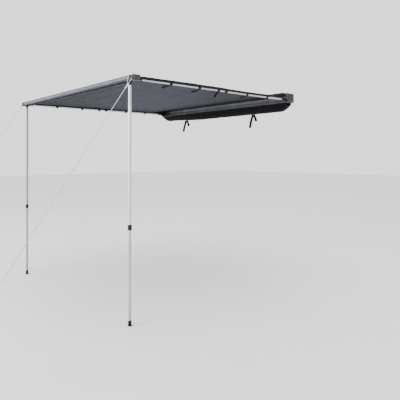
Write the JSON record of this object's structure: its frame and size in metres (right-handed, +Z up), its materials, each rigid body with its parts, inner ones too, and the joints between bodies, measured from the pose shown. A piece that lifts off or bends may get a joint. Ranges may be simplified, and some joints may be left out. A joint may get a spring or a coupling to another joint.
{
  "type": "vehicle side awning",
  "caption": "Pull-out awning for the side of a vehicle: cloth between a wall rail and a front bar, on telescopic arms and folding legs, with a soft cover, ties and guy ropes.",
  "frame": {"origin": "midway between the two mounting brackets, in the plane of their seats, level with the back face of the rail", "axes": "+X along the vehicle, +Y towards the vehicle, -Y out over the shaded ground, +Z up"},
  "size_m": [2.4, 3.6888, 2.156],
  "materials": {
    "rail_aluminium": "grey anodised",
    "bar_aluminium": "satin anodised",
    "tube_aluminium": "satin anodised",
    "zinc_steel": "zinc plated",
    "black_plastic": "moulded",
    "grey_plastic": "moulded",
    "pale_plastic": "moulded",
    "foot_rubber": "moulded",
    "canopy_cloth": "coated woven",
    "cover_sheet": "coated, heavy",
    "webbing": "woven tape",
    "rope": "braided"
  },
  "bodies": {
    "rail": {"rail": "rail_aluminium", "cover": "cover_sheet", "canopy": "canopy_cloth", "canopy_rear_welt": "canopy_cloth", "canopy_hem_near": "webbing", "canopy_hem_far": "webbing", "mount_bracket_near": "zinc_steel", "mount_bracket_far": "zinc_steel", "bracket_bolt_near_1": "zinc_steel", "bracket_bolt_near_2": "zinc_steel", "bracket_bolt_far_1": "zinc_steel", "bracket_bolt_far_2": "zinc_steel", "rail_cap_near": "grey_plastic", "rail_cap_far": "grey_plastic", "cover_straps_near": "webbing", "cover_straps_far": "webbing", "arm_bracket_near": "zinc_steel", "arm_bracket_far": "zinc_steel", "arm_hinge_pin_near": "zinc_steel", "arm_hinge_pin_far": "zinc_steel"},
    "front_bar": {"front_bar": "bar_aluminium", "canopy_front_welt": "canopy_cloth", "bar_end_near": "grey_plastic", "bar_end_far": "grey_plastic", "arm_stud_near": "zinc_steel", "arm_stud_far": "zinc_steel", "leg_pivot_pin_near": "zinc_steel", "leg_pivot_pin_far": "zinc_steel", "guy_bridle_near": "rope", "guy_bridle_far": "rope", "guy_runner_near": "pale_plastic", "guy_runner_far": "pale_plastic", "guy_rope_near": "rope", "guy_rope_far": "rope", "guy_peg_near": "zinc_steel", "guy_peg_far": "zinc_steel"},
    "near_arm": {"arm_root_near": "black_plastic", "arm_outer_tube_near": "tube_aluminium", "arm_collet_near": "grey_plastic"},
    "near_arm_lock": {"arm_lock_near": "black_plastic"},
    "near_arm_inner": {"arm_inner_tube_near": "tube_aluminium", "arm_tip_near": "black_plastic"},
    "far_arm": {"arm_root_far": "black_plastic", "arm_outer_tube_far": "tube_aluminium", "arm_collet_far": "grey_plastic"},
    "far_arm_lock": {"arm_lock_far": "black_plastic"},
    "far_arm_inner": {"arm_inner_tube_far": "tube_aluminium", "arm_tip_far": "black_plastic"},
    "near_leg": {"leg_knuckle_near": "black_plastic", "leg_outer_tube_near": "tube_aluminium", "leg_collet_near": "grey_plastic"},
    "near_leg_lock": {"leg_lock_near": "black_plastic"},
    "near_leg_inner": {"leg_inner_tube_near": "tube_aluminium", "leg_foot_near": "foot_rubber"},
    "far_leg": {"leg_knuckle_far": "black_plastic", "leg_outer_tube_far": "tube_aluminium", "leg_collet_far": "grey_plastic"},
    "far_leg_lock": {"leg_lock_far": "black_plastic"},
    "far_leg_inner": {"leg_inner_tube_far": "tube_aluminium", "leg_foot_far": "foot_rubber"}
  },
  "joints": [
    {"name": "front_bar_roll_in", "type": "slide", "parent": "rail", "child": "front_bar", "axis": [0, 0.9999, 0.0168], "range_m": [0, 0.93], "deforming": ["canopy", "canopy_hem_near", "canopy_hem_far"]},
    {"name": "near_arm_swing", "type": "hinge", "parent": "rail", "child": "near_arm", "pos_m": [1.15, -0.027, 0.008], "axis": [0, 0.0168, -0.9999], "range_deg": [0, 90]},
    {"name": "near_arm_telescope", "type": "slide", "parent": "near_arm", "child": "near_arm_inner", "axis": [0, 0.9999, 0.0168], "range_m": [0, 0.93]},
    {"name": "near_arm_lock_turn", "type": "hinge", "parent": "near_arm", "child": "near_arm_lock", "pos_m": [1.15, -0.027, 0.008], "axis": [0, 0.9999, 0.0168], "range_deg": [0, 90]},
    {"name": "far_arm_swing", "type": "hinge", "parent": "rail", "child": "far_arm", "pos_m": [-1.15, -0.055, 0.008], "axis": [0, -0.0168, 0.9999], "range_deg": [0, 90]},
    {"name": "far_arm_telescope", "type": "slide", "parent": "far_arm", "child": "far_arm_inner", "axis": [0, 0.9999, 0.0168], "range_m": [0, 0.93]},
    {"name": "far_arm_lock_turn", "type": "hinge", "parent": "far_arm", "child": "far_arm_lock", "pos_m": [-1.15, -0.055, 0.008], "axis": [0, 0.9999, 0.0168], "range_deg": [0, 90]},
    {"name": "near_leg_fold", "type": "hinge", "parent": "front_bar", "child": "near_leg", "pos_m": [1.075, -2.2187, -0.0232], "axis": [0, 1, 0], "range_deg": [0, 90]},
    {"name": "near_leg_telescope", "type": "slide", "parent": "near_leg", "child": "near_leg_inner", "axis": [0, 0, 1], "range_m": [-0.05, 0.74]},
    {"name": "near_leg_lock_turn", "type": "hinge", "parent": "near_leg", "child": "near_leg_lock", "pos_m": [1.075, -2.2187, -0.0232], "axis": [0, 0, 1], "range_deg": [0, 90]},
    {"name": "far_leg_fold", "type": "hinge", "parent": "front_bar", "child": "far_leg", "pos_m": [-1.075, -2.2502, -0.0232], "axis": [0, -1, 0], "range_deg": [0, 90]},
    {"name": "far_leg_telescope", "type": "slide", "parent": "far_leg", "child": "far_leg_inner", "axis": [0, 0, 1], "range_m": [-0.05, 0.74]},
    {"name": "far_leg_lock_turn", "type": "hinge", "parent": "far_leg", "child": "far_leg_lock", "pos_m": [-1.075, -2.2502, -0.0232], "axis": [0, 0, 1], "range_deg": [0, 90]}
  ],
  "couplings": [
    {"joint": "near_arm_telescope", "follows": "front_bar_roll_in", "ratio": 1},
    {"joint": "far_arm_telescope", "follows": "front_bar_roll_in", "ratio": 1}
  ]
}
